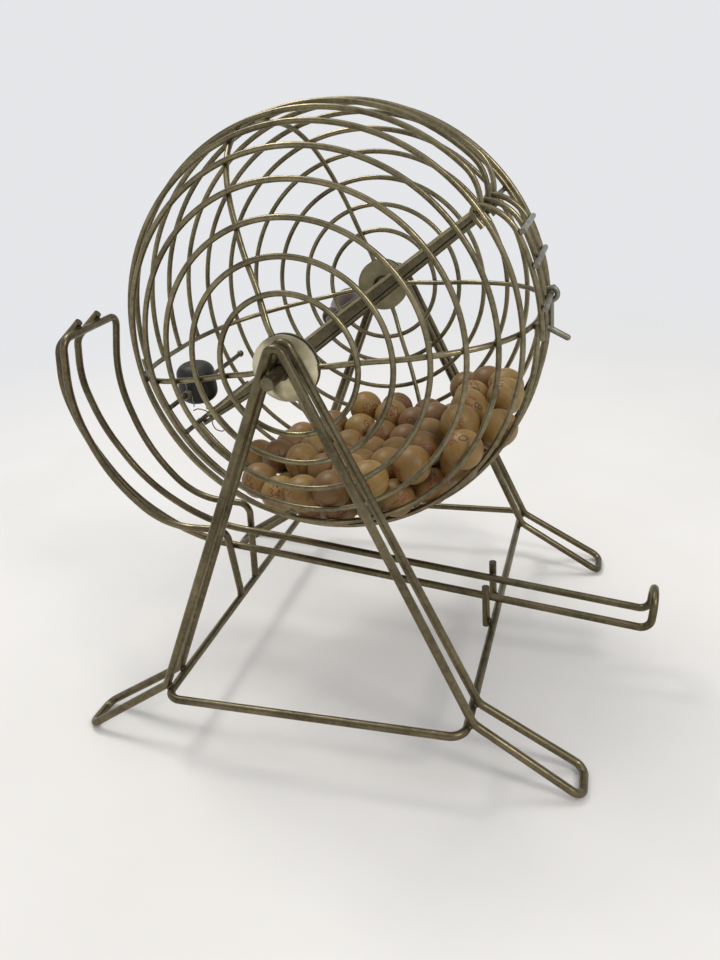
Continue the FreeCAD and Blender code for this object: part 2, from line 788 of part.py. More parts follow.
def door_wire(along):
    """One long wire: along the cage's surface, in over the hinge bar, and a hook round it."""
    hinge = cage_at(bar_seat, hinge_bar_angle, along)
    offset = door_radius - door_bend
    lean = math.acos((bar_seat ** 2 + offset ** 2 - (door_bend - loop_radius) ** 2)
                     / (2 * bar_seat * offset))
    join_angle = hinge_bar_angle - math.degrees(lean)
    centre = cage_at(offset, join_angle, along)
    over = unit(hinge - centre)
    top = hinge + over * loop_radius
    top_angle = math.degrees(math.atan2(over.z, over.x))
    bend_middle = centre + cage_direction((join_angle + top_angle) / 2) * door_bend
    hook_middle = hinge + cage_direction(top_angle + hook_wrap / 2) * loop_radius
    hook_end = hinge + cage_direction(top_angle + hook_wrap) * loop_radius
    tail = hook_end + cage_direction(top_angle + hook_wrap + 90) * hinge_tail
    end_angle = door_rib_angle - door_past_rib_angle
    edges = [Part.Arc(cage_at(door_radius, end_angle, along),
                      cage_at(door_radius, (end_angle + join_angle) / 2, along),
                      cage_at(door_radius, join_angle, along)).toShape(),
             Part.Arc(cage_at(door_radius, join_angle, along), bend_middle, top).toShape(),
             Part.Arc(top, hook_middle, hook_end).toShape(),
             Part.LineSegment(hook_end, tail).toShape()]
    return swept(Part.Wire(edges), ring_wire)


def door_wires():
    return solids_of([door_wire(along) for along in door_wire_places])


cross_radius = door_radius + ring_wire - weld_sink
door_cross_angles = [door_rib_angle + span for span in door_cross_span_angles]


def door_cross_wires():
    """Wires across the outside of the long wires."""
    start = door_wire_places[0] - door_cross_overhang
    end = door_wire_places[-1] + door_cross_overhang
    return solids_of([rod(cage_at(cross_radius, angle, start), cage_at(cross_radius, angle, end),
                          ring_wire) for angle in door_cross_angles])


latch_pivot_angle = door_cross_angles[-1]
latch_along = door_wire_places[1] + latch_side_shift


def door_latch():
    """A wire that swings on the lowest cross wire; its pin catches under the rib."""
    pivot = cage_at(cross_radius, latch_pivot_angle, latch_along)
    eye = Part.makeTorus(loop_radius, ring_wire / 2, pivot, V(0, 1, 0))
    inner = cage_at(latch_pin_inner[0], door_rib_angle + latch_pin_inner[1], latch_along)
    outer = cage_at(latch_pin_outer[0], door_rib_angle + latch_pin_outer[1], latch_along)
    lean = unit(outer - inner)
    reach = cage_at(cross_radius, door_rib_angle + latch_arm_span_angle, latch_along) - inner
    foot = inner + lean * reach.dot(lean)
    arm = rod(pivot + unit(foot - pivot) * loop_radius, foot, ring_wire)
    tip = Part.makeSphere(latch_pin_wire / 2, outer)
    return fused([eye, arm, rod(inner, outer, latch_pin_wire), tip])


# ---- crank ----------------------------------------------------------------------------------
crank_plane = knee_plane_outer + frame_wire / 2 + crank_leg_clearance + crank_wire / 2
pin_centre = cage_at(crank_radius, crank_angle, 0)
grip_start = crank_plane + crank_bend + grip_start_gap
grip_end = grip_start + grip_length
washer_start = grip_end + fit_gap
pin_end = washer_start + grip_washer_thickness


def crank():
    """The rear axle, arm and grip pin, bent from one wire, headed inside the hub."""
    head_face = bush_inner_end + bush_recess_depth
    pin = V(pin_centre.x, 0, pin_centre.z)
    axle = V(axle_x, 0, axle_height)
    wire = bent_wire([axle + V(0, head_face, 0), axle + V(0, crank_plane, 0),
                      pin + V(0, crank_plane, 0), pin + V(0, pin_end, 0)],
                     crank_wire, crank_bend)
    head = rod(axle + V(0, head_face - spindle_head_thickness, 0), axle + V(0, head_face, 0),
               spindle_head)
    cap = rod(pin + V(0, pin_end, 0), pin + V(0, pin_end + pin_head_thickness, 0), pin_head)
    return fused([wire, head, cap])


def grip_washer_disc():
    start = V(pin_centre.x, washer_start, pin_centre.z)
    end = V(pin_centre.x, pin_end, pin_centre.z)
    return rod(start, end, grip_washer).cut(rod(start, end, crank_wire))


def crank_grip():
    """A turned wooden knob: a bead, a neck and a pear-shaped bulge."""
    def at(share, diameter):
        return V(pin_centre.x + diameter / 2, grip_start + share * grip_length, pin_centre.z)

    bore = crank_wire + 2 * grip_bore_clearance
    bead = [at(0, grip_bead * 0.72), at(0.035, grip_bead), at(0.11, grip_bead),
            at(0.17, grip_neck)]
    rise = [at(0.17, grip_neck), at(0.3, grip_neck * 1.08), at(0.47, grip_bulge * 0.86),
            at(0.68, grip_bulge), at(0.87, grip_bulge * 0.87), at(1, grip_tail * 0.8)]
    first = Part.BSplineCurve()
    first.interpolate(bead)
    second = Part.BSplineCurve()
    second.interpolate(rise)
    edges = [Part.LineSegment(at(0, bore), bead[0]).toShape(), first.toShape(),
             second.toShape(), Part.LineSegment(rise[-1], at(1, bore)).toShape(),
             Part.LineSegment(at(1, bore), at(0, bore)).toShape()]
    return turned(Part.Face(Part.Wire(edges)), V(pin_centre.x, 0, pin_centre.z))


# ---- balls ----------------------------------------------------------------------------------
def heap_start(tilt):
    """The lowest places of a close-packed grid inside the cage, sloped to one side."""
    generator = random.Random(ball_seed)
    room = cage_radius - ring_wire - ball_diameter / 2
    places = []
    for layer in range(8):
        depth = room - layer * pile_layer
        for row in range(-5, 6):
            across = (row + (layer % 2) / 2) * pile_spacing * math.sqrt(3) / 2
            for column in range(-5, 6):
                along = (column + (row % 2) / 2 + (layer % 2) / 3) * pile_spacing
                share = abs(along) / (cage_half_length - ring_wire - ball_diameter / 2)
                if share >= 1:
                    continue
                limit = room * (1 - share ** cage_roundness) ** (1 / cage_roundness)
                if math.hypot(across, depth) < limit:
                    places.append((depth, across, along))
    places.sort(reverse=True)
    balls = []
    for depth, across, along in places[:ball_count]:
        shake = [generator.uniform(-pile_jitter, pile_jitter) for _ in range(3)]
        balls.append([depth * math.sin(tilt) + across * math.cos(tilt) + shake[0],
                      along + shake[1],
                      across * math.sin(tilt) - depth * math.cos(tilt) + shake[2]])
    return balls


def settle_balls():
    """Lets the heap slide down its slope inside the rings and ribs until the balls lie apart."""
    reach = ball_diameter / 2 + ball_gap / 2
    tilt = math.radians(pile_tilt)
    down = (math.sin(tilt), 0.0, -math.cos(tilt))
    rib_line = []
    path = rib_path(0)
    samples = 60
    for index in range(samples + 1):
        point = path_point(path, path.Length * index / samples)[0]
        rib_line.append((point.x - axle_x, point.y))
    rib_rows = [(math.cos(math.radians(a)), math.sin(math.radians(a)))
                for name, a in rib_angles.items() if name in ("bottom", "door_side")]
    balls = heap_start(tilt)

    def part_pair(one, other):
        gap = [other[k] - one[k] for k in range(3)]
        squared = gap[0] ** 2 + gap[1] ** 2 + gap[2] ** 2
        if squared < (2 * reach) ** 2:
            distance = math.sqrt(squared) or 1e-6
            push = (2 * reach - distance) / 2 / distance
            for k in range(3):
                one[k] -= gap[k] * push
                other[k] += gap[k] * push

    def keep_inside(ball):
        radius = math.hypot(ball[0], ball[2]) or 1e-6
        limit = reach + ring_wire / 2
        for size, along in rings:
            side = radius - size
            ahead = ball[1] - along
            squared = side * side + ahead * ahead
            if side > 0 or squared < limit * limit:
                distance = math.sqrt(squared) or 1e-6
                if side > 0 and distance > limit:
                    continue
                push = limit - distance
                share = -abs(side) / distance * push
                ball[1] += ahead / distance * push
                ball[0] *= (radius + share) / radius
                ball[2] *= (radius + share) / radius
                radius = math.hypot(ball[0], ball[2]) or 1e-6
        limit = reach + rib_wire / 2
        for cosine, sine in rib_rows:
            out = ball[0] * cosine + ball[2] * sine
            across = -ball[0] * sine + ball[2] * cosine
            if out < 0 or abs(across) > limit:
                continue
            for size, along in rib_line:
                side = out - size
                ahead = ball[1] - along
                distance = math.sqrt(side * side + ahead * ahead + across * across)
                if distance < limit:
                    push = (limit - distance) / (distance or 1e-6)
                    out += side * push
                    ball[1] += ahead * push
                    across += across * push
            ball[0] = out * cosine - across * sine
            ball[2] = out * sine + across * cosine

    for turn in range(settle_rounds):
        step = settle_step * max(0.0, 1 - turn / (settle_rounds * 0.8))
        for ball in balls:
            for k in range(3):
                ball[k] += down[k] * step
        for _ in range(3 if step > 0 else 6):
            for i in range(ball_count):
                for j in range(i + 1, ball_count):
                    if abs(balls[i][2] - balls[j][2]) < 2 * reach:
                        part_pair(balls[i], balls[j])
            for ball in balls:
                keep_inside(ball)
    return [V(axle_x + x, y, axle_height + z) for x, y, z in balls]


def ball_heap():
    return solids_of([Part.makeSphere(ball_diameter / 2, centre) for centre in settle_balls()])


# ---- the pieces, one file each ----------------------------------------------------------------
def build():
    dome = front_hub_dome()
    disc = front_hub_disc()
    nodes = {
        "front_a_frame": a_frame(front_leg_bend),
        "rear_a_frame": mirrored(a_frame(rear_leg_bend)),
        "base_frame": base_frame(),
        "front_spindle": front_spindle(),
        "rear_sleeve": rear_sleeve(),
        "chute_floor_wire": chute_floor(),
        "chute_guard_wire": chute_guard(),
        "chute_support_posts": chute_support_posts(),
        "front_hub_dome": dome,
        "front_hub_disc": disc,
        "front_hub_bush": hub_bush(axle_rod + 2 * fit_clearance),
        "rear_hub_dome": mirrored(dome),
        "rear_hub_disc": mirrored(disc),
        "rear_hub_bush": mirrored(hub_bush(crank_wire)),
        "exit_ring_doubler": exit_doubler(),
        "exit_bar": exit_bar(),
        "door_hinge_bar": hinge_bar(),
        "ball_trough": trough(),
        "trough_rails": trough_rails(),
        "trap_rod": trap_rod(),
        "trap_weight": trap_weight(),
        "trap_finger": trap_finger(),
        "trap_spring": trap_spring(),
        "door_wires": door_wires(),
        "door_cross_wires": door_cross_wires(),
        "door_latch": door_latch(),
        "crank": crank(),
        "grip_washer": grip_washer_disc(),
        "crank_grip": crank_grip(),
        "balls": ball_heap(),
    }
    for name, angle in rib_angles.items():
        nodes["rib_" + name] = swept(rib_path(angle), rib_wire)
    for index in range(len(rings)):
        nodes["ring_%02d" % (index + 1)] = cage_ring(index)
    return nodes


os.makedirs("parts", exist_ok=True)
for node, shape in build().items():
    shape.exportStep("parts/" + node + ".step")
    box = shape.BoundBox
    print(node, len(shape.Solids), shape.isValid(), round(shape.Volume, 1),
          [round(v, 1) for v in (box.XMin, box.XMax, box.YMin, box.YMax, box.ZMin, box.ZMax)])
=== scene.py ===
import math
import random

import bmesh
import bpy
import numpy as np
from mathutils import Matrix, Vector, noise


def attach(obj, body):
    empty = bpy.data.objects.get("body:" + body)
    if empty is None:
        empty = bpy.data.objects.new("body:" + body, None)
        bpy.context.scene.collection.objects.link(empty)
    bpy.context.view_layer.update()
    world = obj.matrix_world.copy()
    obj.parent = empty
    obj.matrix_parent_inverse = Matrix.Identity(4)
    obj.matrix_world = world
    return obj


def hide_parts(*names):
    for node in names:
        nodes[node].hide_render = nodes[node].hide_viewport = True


# A wire bingo cage on its stand: finishes for the CAD pieces, and the details they leave out.
# Metres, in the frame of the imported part.

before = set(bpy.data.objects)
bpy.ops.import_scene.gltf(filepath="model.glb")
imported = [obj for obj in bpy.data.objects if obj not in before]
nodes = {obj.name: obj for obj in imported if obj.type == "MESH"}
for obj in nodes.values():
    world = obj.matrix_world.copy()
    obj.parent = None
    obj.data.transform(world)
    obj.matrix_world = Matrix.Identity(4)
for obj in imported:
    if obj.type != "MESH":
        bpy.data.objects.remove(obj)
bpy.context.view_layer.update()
MM = 0.001
ACROSS, ALONG, UP = Vector((1, 0, 0)), Vector((0, 1, 0)), Vector((0, 0, 1))

# ---- the part's own sizes, in millimetres and degrees ----------------------------------------
AXLE_X = -3.363
AXLE_Z = 224.2
RING_COUNT = 16
RING_WIRE = 3.0
RING_NODES = ["ring_%02d" % (i + 1) for i in range(RING_COUNT)]
RIB_ANGLES = (109.0, 190.0, 288.0, 2.0)
HUB_RADIUS = 17.2
HUB_PLANE = 95.0
EXIT_BAR_ANGLE = 212.5
EXIT_BAR_RADIUS = 116.08
EXIT_BAR_RINGS = (6, 7, 8, 9, 10)
HINGE_BAR_ANGLE = 35.5
HINGE_BAR_RADIUS = 108.37
HINGE_BAR_RINGS = (5, 6, 7, 8, 10)
TROUGH_RAIL_SHIFT = 10.9
TROUGH_HEM_SHIFT = 12.0
TRAP_ROD_ENDS = (Vector((-107.8, -33.5, 178.8)), Vector((-103.6, 50.7, 183.1)))
DOOR_WELD_RADIUS = 120.94
DOOR_CROSS_ANGLES = (26.0, 17.5, 7.0)
DOOR_WIRE_PLANES = (-38.5, -16.0, 6.0)
BASE_WIRE_X = 87.196
BASE_WIRE_Z = 35.854
KNEE_PLANES = (105.7, 123.0)
AXLE_PLANES = (105.7, 116.45)
CHUTE_WIRE = 4.76
CHUTE_Y = -8.75
CHUTE_GAUGE = 21.5
CHUTE_TOP_X = -172.4
CHUTE_TOP_Z = 224.1
GUARD_POST_SHIFT = 12.5
SUPPORT_POST_X = 82.5
SUPPORT_WELD_Z = 52.0
BALL_RADIUS = 11.1
BALL_COUNT = 75
DIGIT_HEIGHT = 5.0
DIGIT_STROKE = 0.62
CAMERA_AT = Vector((154.06, -472.78, 345.16))


def cage_point(radius, angle, along):
    """A point by its distance from the axle, its angle from +X towards +Z and its y, in mm."""
    bearing = math.radians(angle)
    return Vector((AXLE_X + radius * math.cos(bearing), along,
                   AXLE_Z + radius * math.sin(bearing)))


def ring_way(angle):
    """The way that a ring runs at an angle."""
    bearing = math.radians(angle)
    return Vector((-math.sin(bearing), 0, math.cos(bearing)))


# ---- materials -------------------------------------------------------------------------------
class Tree:
    """A short way to write a node tree."""

    def __init__(self, name):
        self.material = bpy.data.materials.new(name)
        self.material.use_nodes = True
        self.nodes = self.material.node_tree.nodes
        self.links = self.material.node_tree.links
        self.nodes.clear()
        self.output = self.nodes.new("ShaderNodeOutputMaterial")
        self.shader = self.nodes.new("ShaderNodeBsdfPrincipled")
        self.links.new(self.shader.outputs[0], self.output.inputs["Surface"])
        self.place = self.nodes.new("ShaderNodeTexCoord").outputs["Object"]

    def link(self, source, target):
        self.links.new(source, target)

    def attribute(self, name, output="Vector"):
        node = self.nodes.new("ShaderNodeAttribute")
        node.attribute_name = name
        return node.outputs[output]

    def mapped(self, scale=(1, 1, 1), source=None, rotation=(0, 0, 0), location=(0, 0, 0)):
        node = self.nodes.new("ShaderNodeMapping")
        node.inputs["Scale"].default_value = scale
        node.inputs["Rotation"].default_value = rotation
        node.inputs["Location"].default_value = location
        self.link(source or self.place, node.inputs["Vector"])
        return node.outputs["Vector"]

    def noise(self, scale, detail=3.0, rough=0.55, source=None, distortion=0.0):
        node = self.nodes.new("ShaderNodeTexNoise")
        node.inputs["Scale"].default_value = scale
        node.inputs["Detail"].default_value = detail
        node.inputs["Roughness"].default_value = rough
        node.inputs["Distortion"].default_value = distortion
        self.link(source or self.place, node.inputs["Vector"])
        return node.outputs["Fac"]

    def ramp(self, factor, stops):
        node = self.nodes.new("ShaderNodeValToRGB")
        ramp = node.color_ramp
        while len(ramp.elements) < len(stops):
            ramp.elements.new(0.5)
        for element, (position, colour) in zip(ramp.elements, stops):
            element.position = position
            if isinstance(colour, (int, float)):
                colour = (colour, colour, colour)
            element.color = (*colour, 1.0)
        self.link(factor, node.inputs["Fac"])
        return node.outputs["Color"]

    def range(self, value, low, high, to_low, to_high):
        node = self.nodes.new("ShaderNodeMapRange")
        for key, number in (("From Min", low), ("From Max", high),
                            ("To Min", to_low), ("To Max", to_high)):
            node.inputs[key].default_value = number
        self.link(value, node.inputs["Value"])
        return node.outputs["Result"]

    def mix(self, factor, one, other, mode="MIX"):
        node = self.nodes.new("ShaderNodeMix")
        node.data_type = "RGBA"
        node.blend_type = mode
        for key, value in ((0, factor), (6, one), (7, other)):
            if isinstance(value, bpy.types.NodeSocket):
                self.link(value, node.inputs[key])
            elif isinstance(value, (int, float)):
                node.inputs[key].default_value = value
            else:
                node.inputs[key].default_value = (*value, 1.0)
        return node.outputs[2]

    def math(self, kind, one, other=0.0):
        node = self.nodes.new("ShaderNodeMath")
        node.operation = kind
        for key, value in ((0, one), (1, other)):
            if isinstance(value, bpy.types.NodeSocket):
                self.link(value, node.inputs[key])
            else:
                node.inputs[key].default_value = value
        return node.outputs[0]

    def bump(self, height, strength, distance):
        node = self.nodes.new("ShaderNodeBump")
        node.inputs["Strength"].default_value = strength
        node.inputs["Distance"].default_value = distance
        self.link(height, node.inputs["Height"])
        self.link(node.outputs["Normal"], self.shader.inputs["Normal"])

    def set(self, **values):
        for key, value in values.items():
            socket = self.shader.inputs[key.replace("_", " ")]
            if isinstance(value, bpy.types.NodeSocket):
                self.link(value, socket)
            elif isinstance(value, (int, float)):
                socket.default_value = value
            else:
                socket.default_value = (*value, 1.0)

    def upward(self):
        """1 on surfaces that face up, 0 on those that face sideways or down."""
        geometry = self.nodes.new("ShaderNodeNewGeometry")
        split = self.nodes.new("ShaderNodeSeparateXYZ")
        self.link(geometry.outputs["Normal"], split.inputs[0])
        return self.range(split.outputs["Z"], 0.2, 1.0, 0.0, 1.0)


def aged_metal(name, bright, dull, stain, rough):
    """Old plated steel: a dull olive film, worn brighter in places, with brown stains and pits."""
    t = Tree(name)
    patches = t.noise(38, 4, 0.6)
    mottle = t.noise(420, 3, 0.6)
    fine = t.noise(1900, 2, 0.5)
    film = t.math("ADD", t.math("MULTIPLY", patches, 0.65), t.math("MULTIPLY", mottle, 0.35))
    between = tuple(0.5 * (a + b) for a, b in zip(bright, dull))
    colour = t.ramp(film, [(0.38, dull), (0.52, between), (0.66, bright)])
    stains = t.range(t.noise(95, 5, 0.7, distortion=0.6), 0.60, 0.74, 0.0, 0.5)
    colour = t.mix(stains, colour, stain)
    dusty = t.math("MULTIPLY", t.upward(), t.range(t.noise(60, 3), 0.35, 0.75, 0.0, 0.12))
    colour = t.mix(dusty, colour, (0.40, 0.37, 0.29))
    t.set(Base_Color=colour,
          Metallic=t.range(t.math("ADD", stains, dusty), 0.0, 1.0, 1.0, 0.45),
          Roughness=t.math("ADD", t.range(film, 0.35, 0.7, rough + 0.12, rough - 0.05),
                           t.math("MULTIPLY", stains, 0.3)))
    t.bump(t.math("ADD", fine, t.math("MULTIPLY", stains, 1.5)), 0.22, 0.00012)
    return t.material


def pressed_metal(name, bright, dull, stain, rough):
    """Polished sheet with turning lines round the axle, smudges and a few stains."""
    t = Tree(name)
    round_axle = t.mapped(location=(-AXLE_X * MM, 0, -AXLE_Z * MM))
    rings = t.nodes.new("ShaderNodeTexWave")
    rings.wave_type = "RINGS"
    rings.rings_direction = "Y"
    rings.inputs["Scale"].default_value = 420
    rings.inputs["Distortion"].default_value = 0.8
    t.link(round_axle, rings.inputs["Vector"])
    smudge = t.noise(55, 4, 0.55)
    colour = t.ramp(smudge, [(0.36, dull), (0.62, bright)])
    stains = t.range(t.noise(190, 5, 0.7, distortion=0.8), 0.63, 0.74, 0.0, 0.40)
    colour = t.mix(stains, colour, stain)
    t.set(Base_Color=colour, Metallic=t.range(stains, 0, 1, 1.0, 0.5),
          Roughness=t.math("ADD", t.range(smudge, 0.35, 0.7, rough + 0.14, rough),
                           t.math("MULTIPLY", stains, 0.3)))
    t.bump(t.math("ADD", t.math("MULTIPLY", rings.outputs["Fac"], 0.5), t.noise(260, 3)),
           0.12, 0.00010)
    return t.material


def ball_wood():
    """Turned light hardwood under old lacquer; each ball has its own tone and grain direction."""
    t = Tree("ball_wood")
    grain = t.attribute("grain")
    tone = t.attribute("tone", "Fac")
    rings = t.nodes.new("ShaderNodeTexWave")
    rings.wave_type = "RINGS"
    rings.rings_direction = "Z"
    rings.inputs["Scale"].default_value = 90
    rings.inputs["Distortion"].default_value = 5.0
    rings.inputs["Detail"].default_value = 3.0
    t.link(t.mapped((1, 1, 0.25), grain), rings.inputs["Vector"])
    fibres = t.noise(700, 3, 0.6, t.mapped((1, 1, 0.10), grain))
    cloud = t.noise(85, 4, 0.6, grain)
    base = t.ramp(tone, [(0.0, (0.160, 0.070, 0.014)), (0.35, (0.235, 0.122, 0.025)),
                         (0.7, (0.31, 0.182, 0.042)), (1.0, (0.40, 0.262, 0.075))])
    colour = t.mix(t.range(rings.outputs["Fac"], 0.2, 1.0, 0.0, 0.22), base,
                   (0.20, 0.100, 0.026))
    colour = t.mix(t.range(fibres, 0.45, 0.75, 0.0, 0.35), colour, (0.138, 0.070, 0.018))
    colour = t.mix(t.range(cloud, 0.35, 0.72, 0.34, 0.0), colour, (0.148, 0.080, 0.022))
    grime = t.range(t.noise(240, 5, 0.7, grain, 0.5), 0.60, 0.76, 0.0, 0.45)
    colour = t.mix(grime, colour, (0.080, 0.044, 0.018))
    t.set(Base_Color=colour, Roughness=t.range(cloud, 0.3, 0.75, 0.56, 0.42),
          Coat_Weight=0.12, Coat_Roughness=0.35)
    t.bump(t.math("ADD", fibres, t.math("MULTIPLY", cloud, 0.5)), 0.25, 0.00012)
    return t.material


def lacquered_wood():
    """Dark red-brown lacquer over turned wood, rubbed thin in random patches."""
    t = Tree("grip_wood")
    fibres = t.noise(900, 4, 0.6, t.mapped((1, 0.06, 1)))
    cloud = t.noise(60, 4, 0.6)
    colour = t.ramp(fibres, [(0.3, (0.019, 0.010, 0.007)), (0.7, (0.048, 0.025, 0.016))])
    worn = t.range(t.noise(120, 5, 0.7, t.mapped((1, 0.5, 1))), 0.58, 0.74, 0.0, 0.55)
    colour = t.mix(worn, colour, (0.090, 0.048, 0.028))
    colour = t.mix(t.range(cloud, 0.4, 0.7, 0.0, 0.4), colour, (0.034, 0.015, 0.009))
    t.set(Base_Color=colour, Roughness=t.range(worn, 0.0, 0.55, 0.36, 0.58),
          Coat_Weight=0.10, Coat_Roughness=0.3)
    t.bump(t.math("ADD", fibres, t.math("MULTIPLY", worn, -1.2)), 0.3, 0.00015)
    return t.material


def black_rubber():
    """Old black rubber with a grey-green bloom and small pores, its upward faces painted lighter
    as a painted top light.
    """
    t = Tree("trap_rubber")
    bloom = t.noise(110, 5, 0.65)
    pores = t.noise(1500, 2, 0.5)
    colour = t.ramp(bloom, [(0.35, (0.0045, 0.0045, 0.0030)), (0.70, (0.015, 0.015, 0.010))])
    # painted top light: faces that look up are mixed towards a lighter grey-green, as if lit from
    # above
    colour = t.mix(t.math("MULTIPLY", t.upward(), 0.22), colour, (0.034, 0.034, 0.024))
    t.set(Base_Color=colour, Roughness=t.range(bloom, 0.3, 0.7, 0.42, 0.66),
          Specular_IOR_Level=0.5)
    t.bump(t.math("ADD", pores, t.math("MULTIPLY", bloom, 1.5)), 0.35, 0.00018)
    return t.material


def stamp_ink(name, ink):
    """Stamped ink, worn through to the wood in places."""
    t = Tree(name)
    wear = t.noise(1300, 3, 0.6)
    wood = (0.28, 0.155, 0.045)
    faded = tuple(0.6 * a + 0.4 * b for a, b in zip(ink, wood))
    colour = t.ramp(wear, [(0.40, ink), (0.66, faded), (0.78, wood)])
    t.set(Base_Color=colour, Roughness=0.6)
    t.bump(wear, 0.2, 0.00005)
    return t.material


def weld_metal():
    """Spot-weld metal: darker, rougher and a little scaled."""
    t = Tree("weld_metal")
    scale = t.noise(600, 4, 0.7)
    colour = t.ramp(scale, [(0.35, (0.050, 0.043, 0.028)), (0.55, (0.105, 0.090, 0.055)),
                            (0.72, (0.17, 0.145, 0.090))])
    t.set(Base_Color=colour, Metallic=0.9, Roughness=t.range(scale, 0.3, 0.7, 0.6, 0.4))
    t.bump(scale, 0.5, 0.0002)
    return t.material


STAND_METAL = aged_metal("stand_metal", (0.200, 0.166, 0.095), (0.082, 0.067, 0.037),
                         (0.034, 0.024, 0.013), 0.30)
CAGE_METAL = aged_metal("cage_metal", (0.30, 0.255, 0.148), (0.125, 0.105, 0.060),
                        (0.045, 0.030, 0.016), 0.28)
BAR_METAL = aged_metal("bar_metal", (0.20, 0.172, 0.108), (0.082, 0.070, 0.043),
                       (0.036, 0.026, 0.014), 0.36)
TROUGH_METAL = aged_metal("trough_metal", (0.19, 0.168, 0.102), (0.075, 0.066, 0.040),
                          (0.032, 0.023, 0.013), 0.46)
# painted highlight: the trough's folded rims get a much brighter, glossier copy of its metal, a
# painted highlight along the rolls
HEM_PAINTED_HIGHLIGHT = aged_metal("hem_painted_highlight", (0.50, 0.43, 0.26), (0.25, 0.215, 0.125),
                       (0.060, 0.042, 0.022), 0.26)
PLAIN_STEEL = aged_metal("plain_steel", (0.34, 0.32, 0.26), (0.155, 0.143, 0.110),
                         (0.055, 0.040, 0.024), 0.40)
SLEEVE_METAL = aged_metal("sleeve_metal", (0.12, 0.100, 0.062), (0.045, 0.038, 0.024),
                          (0.026, 0.019, 0.011), 0.45)
SHINY_HUB = pressed_metal("hub_front_metal", (0.62, 0.55, 0.37), (0.34, 0.300, 0.190),
                          (0.14, 0.105, 0.058), 0.17)
DULL_HUB = pressed_metal("hub_inner_metal", (0.34, 0.300, 0.185), (0.21, 0.184, 0.110),
                         (0.09, 0.070, 0.040), 0.46)
RUBBER = black_rubber()
GRIP_WOOD = lacquered_wood()
BALL_WOOD = ball_wood()
RED_INK = stamp_ink("red_ink", (0.21, 0.022, 0.008))
DARK_INK = stamp_ink("dark_ink", (0.055, 0.014, 0.006))
WELD = weld_metal()

NODE_METALS = {
    STAND_METAL: ("front_a_frame", "rear_a_frame", "base_frame", "chute_floor_wire",
                  "chute_guard_wire", "chute_support_posts"),
    CAGE_METAL: (*RING_NODES, "exit_ring_doubler", "rib_top", "rib_exit_side", "rib_bottom",
                 "rib_door_side", "door_wires"),
    BAR_METAL: ("exit_bar", "door_hinge_bar", "trough_rails", "trap_rod", "front_spindle",
                "crank"),
    TROUGH_METAL: ("ball_trough",),
    PLAIN_STEEL: ("door_cross_wires", "door_latch", "grip_washer", "trap_finger",
                  "trap_spring"),
    SLEEVE_METAL: ("rear_sleeve", "front_hub_bush", "rear_hub_bush"),
    SHINY_HUB: ("front_hub_dome", "rear_hub_dome"),
    DULL_HUB: ("front_hub_disc", "rear_hub_disc"),
    RUBBER: ("trap_weight",),
    GRIP_WOOD: ("crank_grip",),
    BALL_WOOD: ("balls",),
}
for material, names in NODE_METALS.items():
    for name in names:
        node = nodes[name]
        node.data.materials.clear()
        node.data.materials.append(material)


# ---- meshes ----------------------------------------------------------------------------------
def piece(name, mesh_maker, material, body):
    """A new mesh object from a function that fills a bmesh in millimetres."""
    mesh = bpy.data.meshes.new(name)
    work = bmesh.new()
    mesh_maker(work)
    bmesh.ops.scale(work, vec=(MM, MM, MM), verts=work.verts)
    work.to_mesh(mesh)
    work.free()
    for polygon in mesh.polygons:
        polygon.use_smooth = True
    mesh.materials.append(material)
    item = bpy.data.objects.new(name, mesh)
    bpy.context.scene.collection.objects.link(item)
    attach(item, body)


def bead(work, centre, along, across, size, seed, rings=2):
    """A lumpy weld bead: size is its half lengths along, across and out."""
    along = Vector(along).normalized()
    across = Vector(across)
    across = (across - along * across.dot(along)).normalized()
    out = along.cross(across)
    made = bmesh.ops.create_icosphere(work, subdivisions=rings, radius=1.0)
    for vert in made["verts"]:
        p = vert.co.copy()
        lump = 1 + 0.22 * noise.noise(p * 1.7 + Vector((seed * 3.1, seed * 1.7, seed * 0.9)))
        vert.co = centre + lump * (along * p.x * size[0] + across * p.y * size[1]
                                   + out * p.z * size[2])


def islands(name):
    """The separate solids of a CAD node, each as an array of points in millimetres."""
    mesh = nodes[name].data
    points = np.zeros(len(mesh.vertices) * 3)
    mesh.vertices.foreach_get("co", points)
    points = points.reshape(-1, 3) * 1000
    keys, index = np.unique(np.round(points, 3), axis=0, return_inverse=True)
    index = index.reshape(-1)
    parent = list(range(len(keys)))

    def root(i):
        while parent[i] != i:
            parent[i] = parent[parent[i]]
            i = parent[i]
        return i

    for edge in mesh.edges:
        a, b = root(index[edge.vertices[0]]), root(index[edge.vertices[1]])
        if a != b:
            parent[a] = b
    groups = {}
    for i in range(len(keys)):
        groups.setdefault(root(i), []).append(i)
    found = [keys[members] for members in groups.values()]
    found.sort(key=lambda p: tuple(np.round(p.mean(0), 2)))
    return found


def tube_along(work, points, radius, sides=10):
    """A round wire through closely spaced points, with rounded ends."""
    points = [Vector(p) for p in points]
    tangents = []
    for i, p in enumerate(points):
        before = points[max(i - 1, 0)]
        after = points[min(i + 1, len(points) - 1)]
        tangents.append((after - before).normalized())
    side = tangents[0].orthogonal().normalized()
    loops = []
    for i, (p, tangent) in enumerate(zip(points, tangents)):
        side = (side - tangent * side.dot(tangent)).normalized()
        other = tangent.cross(side)
        loops.append([work.verts.new(p + (side * math.cos(a) + other * math.sin(a)) * radius)
                      for a in (2 * math.pi * k / sides for k in range(sides))])
    for one, two in zip(loops, loops[1:]):
        for k in range(sides):
            work.faces.new((one[k], one[(k + 1) % sides], two[(k + 1) % sides], two[k]))
    for loop, centre, out in ((loops[0], points[0], -tangents[0]),
                              (loops[-1], points[-1], tangents[-1])):
        # a cap's faces run the other way round at the wire's start
        tip = work.verts.new(centre + out * radius * 0.45)
        for k in range(sides):
            pair = (loop[k], loop[(k + 1) % sides])
            work.faces.new((*pair, tip) if loop is loops[-1] else (pair[1], pair[0], tip))


